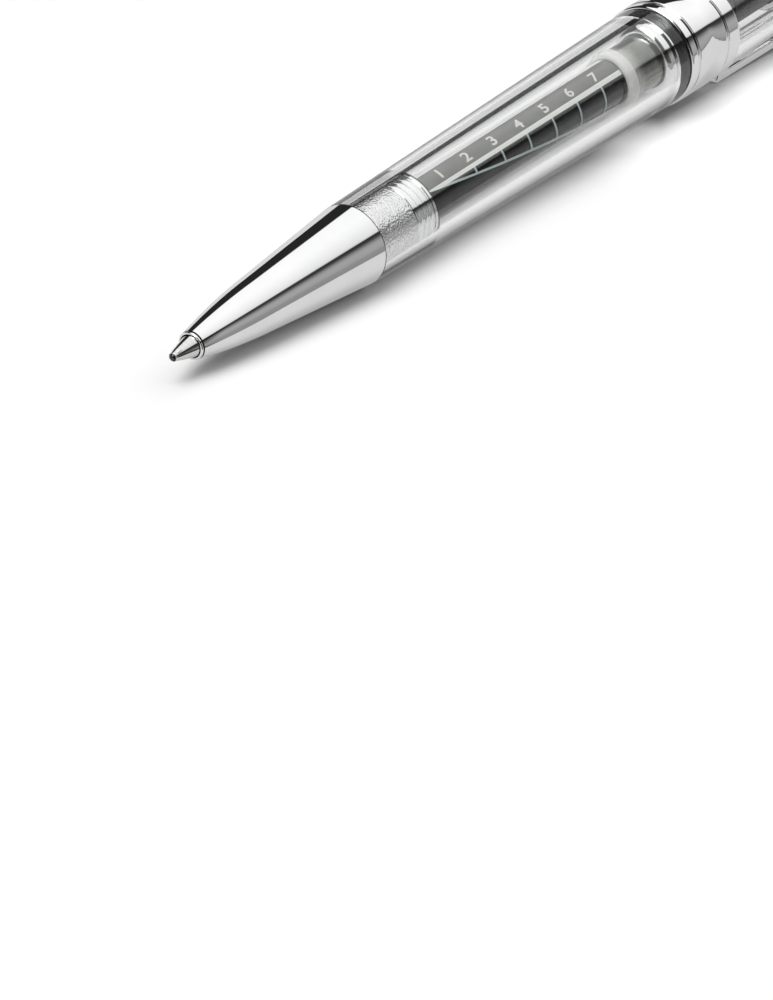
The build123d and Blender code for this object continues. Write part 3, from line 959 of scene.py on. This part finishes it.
def make_clip():
    """Clip: an arm that narrows towards its foot, joined to a ring plate."""
    front, rear, _ = reach("clip")
    plate_front, ring, hole = 140.04, 6.0, 2.7
    arm_inner, arm_outer, foot_inner = 7.5, 8.6, 6.687
    slope, flat, foot = 0.8, 0.9, 2.6
    wide, narrow, root = 4.6, 3.6, 4.35
    bend_round, foot_round, inner_round = 1.2, 0.3, 0.35
    side_round, side_steps, arm_parts = 0.22, 3, 6
    arm = prism(
        "pocket_clip",
        [
            (rear, -root),
            (rear, -arm_outer, bend_round),
            (front, -arm_outer, foot_round),
            (front + slope, -foot_inner, foot_round),
            (front + slope + flat, -foot_inner, foot_round),
            (front + foot, -arm_inner, inner_round),
            (plate_front, -arm_inner, inner_round),
            (plate_front, -root),
        ],
        -wide / 2,
        wide / 2,
    )
    select_only(arm)
    bpy.ops.object.mode_set(mode="EDIT")
    for at in range(1, arm_parts):
        bpy.ops.mesh.select_all(action="SELECT")
        place = front + (plate_front - front) * at / arm_parts
        bpy.ops.mesh.bisect(plane_co=(place * MM, 0, 0), plane_no=(1, 0, 0))
    bpy.ops.object.mode_set(mode="OBJECT")
    for vertex in arm.data.vertices:
        share = min(1, max(0, (vertex.co.x / MM - front) / (plate_front - front)))
        vertex.co.y *= (narrow + (wide - narrow) * share) / wide
    eased(arm, side_round, side_steps)
    plate = turned(
        "plate",
        [
            (plate_front, hole),
            (plate_front, ring, BROKEN_EDGE),
            (rear, ring, BROKEN_EDGE),
            (rear, hole),
        ],
    )
    cut(arm, plate, "UNION")
    seated(arm, "upper", chrome, "chrome", "clip")


def make_spring():
    """Return spring, wound round the pen's axis and laid in place; it is hung on no body."""
    front, rear, outside = reach("return_spring")
    wire, turns, sides, steps = 0.16, 8, 10, 40
    pitch = (rear - front - 2 * wire) / turns
    spring = coil("spring", sides, wire, outside - wire, front + wire, pitch, turns, steps)
    laid(spring)
    spring.data.materials.append(steel)
    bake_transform(spring)
    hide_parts("return_spring")


make_nose()
make_point()
make_refill_nose()
make_tube()
gauge = make_label()
for number, number_place in enumerate(NUMBER_PLACES, 1):
    make_number(str(number), number_place, gauge)
seated(gauge, "refill", film, "printed_film", "level_label")
make_barrel()
make_cup()
make_rear_bush()
make_glide_ring()
make_band()
make_upper_barrel()
make_end_bush()
make_finial()
make_clip()
make_spring()

for kept_node, node_finish in (
    ("tip_ball", inked_metal),
    ("ink_follower", grease),
    ("end_plug", milky),
    ("plunger", steel),
    ("drive_pin", steel),
    ("guide_sleeve", steel),
    ("cam_sleeve", black),
):
    frame["nodes"][kept_node].material_slots[0].material = node_finish


# Camera, floor and light

scene = bpy.context.scene
scene.view_settings.view_transform = "Standard"

CAMERA_LENS, CAMERA_SENSOR = 144, 36
CAMERA_RIGHT, CAMERA_TOP = (0.57315, -0.81933, -0.01352), (0.41094, 0.27312, 0.86979)
CAMERA_PLACE = (-306.33, -246.74, 204.22)

# On the floor, places are in metres from the point under the middle of the pen
FLOOR_SIZE = 6.0
PAPER_LEVEL, PAPER_BOUNCE = 0.93, 0.4
FLOOR_LIFT = 0.03
# Painted light on the floor's shadow: how much a camera-only glow adds, where along X it starts and ends,
# and where across Y it fades in
PAINTED_GAP_LIGHT, PAINTED_GAP_OPEN, PAINTED_GAP_SHUT, PAINTED_GAP_SIDE = 0.25, (0.0105, 0.0175), (0.0225, 0.0265), (0.0, -0.0016)
PAINTED_REAR_LIGHT, PAINTED_REAR_RUN, PAINTED_REAR_END, PAINTED_REAR_SIDE = 0.42, (0.004, 0.037), (0.042, 0.066), (-0.0022, -0.005)
# Painted reflection: levels of the glow that mirrored and see-through rays find on the floor instead of the
# paper
GREY_SLOPE, GREY_FROM, GREY_RUN = 0.298, 0.0296, 0.12
GREY_START_LEVEL, GREY_END_LEVEL = 0.27, 0.36
DARK_BEFORE, DARK_LEVEL = (-0.0645, -0.0615), 0.06
UNDER_SIDE, PAINTED_SHADOW_LEVEL, BESIDE_LEVEL = 0.0048, 0.2, 0.92
MIRROR_LEVEL, MIRROR_WEIGHT = 0.56, 0.68
# Counts of bounces along a ray, to compare with
ONE_OR_MORE, FOUR_OR_MORE = 0.5, 3.5

# Brightness of the studio by degrees from overhead, the camera's side positive
STUDIO = (
    (-90, 0.02),
    (-34.5, 0.02),
    (-33.5, 1.0),
    (-20, 1.04),
    (5, 1.06),
    (20, 1.02),
    (35, 0.94),
    (46, 0.86),
    (54, 0.78),
    (55.9, 0.66),
    (56.9, 0.02),
    (60, 0.03),
    (65, 0.06),
    (70.5, 0.22),
    (76, 0.35),
    (83, 0.38),
    (90, 0.35),
)
OVERHEAD = 0.5
WALL_LEVEL, WALL_TOP, WALL_STEP = 0.73, (-73.0, -72.0), (0.7, 0.74)
SIDE_FROM, SIDE_LEVEL, SIDE_FALL = (8.0, 16.0), 0.03, (-0.3, -0.05)
LOW_FROM, LOW_LOSS, LOW_FALL = 57.0, 0.8, (0.34, 0.41)
PATCH_LEVEL, PATCH_MIDDLE, PATCH_EDGE = 4.15, -3.0, (12.0, 22.0)
PATCH_START, PATCH_END = (-0.9, -0.8), (-0.2, -0.1)


def place_camera():
    """Camera at the photo's viewing angle, given in the pen's own frame."""
    camera = bpy.data.objects.new("camera", bpy.data.cameras.new("camera"))
    camera.data.lens = CAMERA_LENS
    camera.data.sensor_width = CAMERA_SENSOR
    right, top = Vector(CAMERA_RIGHT), Vector(CAMERA_TOP)
    aim = Matrix((right, top, right.cross(top))).transposed().to_4x4()
    aim.translation = Vector(CAMERA_PLACE) * MM
    camera.matrix_world = pen @ aim
    scene.collection.objects.link(camera)
    scene.camera = camera


def white_paper():
    """Paper that is white to the camera and throws little light back up, so that the shadow stays deep."""
    made, tree, shader = material("white_paper", {"Roughness": 1.0, "Specular IOR Level": 0.0})
    x, y, _ = add(
        tree, "ShaderNodeSeparateXYZ", {"Vector": add(tree, "ShaderNodeTexCoord").outputs["Object"]}
    ).outputs
    paths = add(tree, "ShaderNodeLightPath").outputs
    glossy, clear = paths["Glossy Depth"], paths["Transmission Depth"]
    bounced = maths(tree, "GREATER_THAN", paths["Diffuse Depth"], ONE_OR_MORE)
    feed(tree, shader.inputs["Base Color"], blended(tree, bounced, grey(PAPER_LEVEL), grey(PAPER_BOUNCE)))
    # Painted light: a glow that only the camera sees lightens the shadow where light would come through the
    # clear barrel, and in front of the pen's rear half
    painted_lights = []
    for most, run, end, beside in (
        (PAINTED_GAP_LIGHT, PAINTED_GAP_OPEN, PAINTED_GAP_SHUT, PAINTED_GAP_SIDE),
        (PAINTED_REAR_LIGHT, PAINTED_REAR_RUN, PAINTED_REAR_END, PAINTED_REAR_SIDE),
    ):
        light = both(tree, between(tree, x, 0, most, *run), between(tree, x, 1, 0, *end))
        painted_lights.append(both(tree, light, between(tree, y, 0, 1, *beside)))
    lift = maths(tree, "ADD", maths(tree, "MAXIMUM", *painted_lights), FLOOR_LIFT)
    shader.inputs["Emission Color"].default_value = (*grey(1), 1)
    feed(tree, shader.inputs["Emission Strength"], both(tree, paths["Is Camera Ray"], lift))
    # Painted reflection: where the metal mirrors it, the paper gives way to a glow that goes to grey beyond
    # a line in front of the pen, and to dark ahead of the tip
    off_line = maths(tree, "MULTIPLY_ADD", x, -GREY_SLOPE, maths(tree, "MULTIPLY", y, -1.0))
    beyond = maths(tree, "GREATER_THAN", off_line, GREY_FROM)
    fade = between(tree, off_line, 0, 1, GREY_FROM, GREY_FROM + GREY_RUN)
    far_level = blended(tree, fade, grey(GREY_START_LEVEL), grey(GREY_END_LEVEL))
    far_level = blended(tree, between(tree, x, 1, 0, *DARK_BEFORE), far_level, grey(DARK_LEVEL))
    # Painted shadow: seen through the clear barrel, the glow is dark right under the pen and bright beside
    # it, but not in light that the metal sends back and forth inside the barrel
    mirrored_inside = maths(tree, "GREATER_THAN", glossy, ONE_OR_MORE)
    trapped = both(tree, maths(tree, "GREATER_THAN", clear, FOUR_OR_MORE), mirrored_inside)
    through = both(tree, maths(tree, "GREATER_THAN", clear, ONE_OR_MORE), opposite(tree, trapped))
    under = between(tree, maths(tree, "ABSOLUTE", y), 0, 1, 0, UNDER_SIDE)
    painted_shadow_level = blended(tree, under, grey(PAINTED_SHADOW_LEVEL), grey(BESIDE_LEVEL))
    near_level = blended(tree, through, grey(MIRROR_LEVEL), painted_shadow_level)
    level = blended(tree, beyond, near_level, far_level)
    turned_aside = maths(tree, "GREATER_THAN", maths(tree, "ADD", glossy, clear), ONE_OR_MORE)
    mirrored = both(tree, turned_aside, opposite(tree, bounced))
    weight = both(tree, mirrored, between(tree, beyond, MIRROR_WEIGHT, 1, 0, 1))
    glow = add(tree, "ShaderNodeEmission", {"Color": level}).outputs[0]
    surfaced(tree, add(tree, "ShaderNodeMixShader", {0: weight, 1: shader.outputs[0], 2: glow}).outputs[0])
    return made


def lay_floor():
    bpy.ops.object.select_all(action="DESELECT")
    bpy.ops.mesh.primitive_plane_add(size=FLOOR_SIZE)
    floor = bpy.context.object
    floor.name = "floor"
    floor.data.materials.append(white_paper())


def light_studio():
    """Studio round the pen: a long softbox overhead, a dark wall behind, grey to the horizon in front."""
    world = bpy.data.worlds.new("studio")
    scene.world = world
    world.use_nodes = True
    tree = world.node_tree
    direction = add(tree, "ShaderNodeTexCoord").outputs["Generated"]
    x, y, z = add(tree, "ShaderNodeSeparateXYZ", {"Vector": direction}).outputs
    turn = maths(tree, "ARCTAN2", maths(tree, "MULTIPLY", y, -1.0), z)
    round_share = maths(tree, "ADD", maths(tree, "DIVIDE", turn, FULL_TURN), OVERHEAD)
    ramp = add(tree, "ShaderNodeValToRGB", {"Fac": round_share})
    stops = ramp.color_ramp.elements
    while len(stops) < len(STUDIO):
        stops.new(OVERHEAD)
    for stop, (degrees, brightness) in zip(stops, STUDIO):
        stop.position = degrees / 360 + OVERHEAD
        stop.color = (*grey(brightness), 1)
    wall_top = between(tree, x, *map(math.radians, WALL_TOP), *WALL_STEP)
    on_wall = maths(tree, "LESS_THAN", turn, wall_top)
    walled = blended(tree, on_wall, ramp.outputs["Color"], grey(WALL_LEVEL))
    # Towards the tip the side in front falls off, first the grey, then the softbox
    side = between(tree, turn, 0, 1, *map(math.radians, SIDE_FROM))
    side = both(tree, side, between(tree, x, 1 - SIDE_LEVEL, 0, *SIDE_FALL))
    low = maths(tree, "GREATER_THAN", turn, math.radians(LOW_FROM))
    low = both(tree, low, between(tree, x, LOW_LOSS, 0, *LOW_FALL))
    remaining = opposite(tree, maths(tree, "MAXIMUM", side, low))
    # A brighter patch overhead, which the pen's sides don't mirror
    off_middle = maths(tree, "ABSOLUTE", maths(tree, "SUBTRACT", turn, math.radians(PATCH_MIDDLE)))
    in_patch = between(tree, off_middle, 1, 0, *map(math.radians, PATCH_EDGE))
    in_patch = both(tree, in_patch, between(tree, x, 1, 0, *PATCH_END))
    in_patch = both(tree, in_patch, between(tree, x, 0, 1, *PATCH_START))
    patch = maths(tree, "MULTIPLY", in_patch, PATCH_LEVEL)
    lit = add(tree, "ShaderNodeVectorMath", {0: walled, 1: remaining, 2: patch}, operation="MULTIPLY_ADD")
    seen = add(tree, "ShaderNodeLightPath").outputs["Is Camera Ray"]
    feed(tree, tree.nodes["Background"].inputs["Color"], blended(tree, seen, lit.outputs[0], grey(1)))


place_camera()
lay_floor()
light_studio()
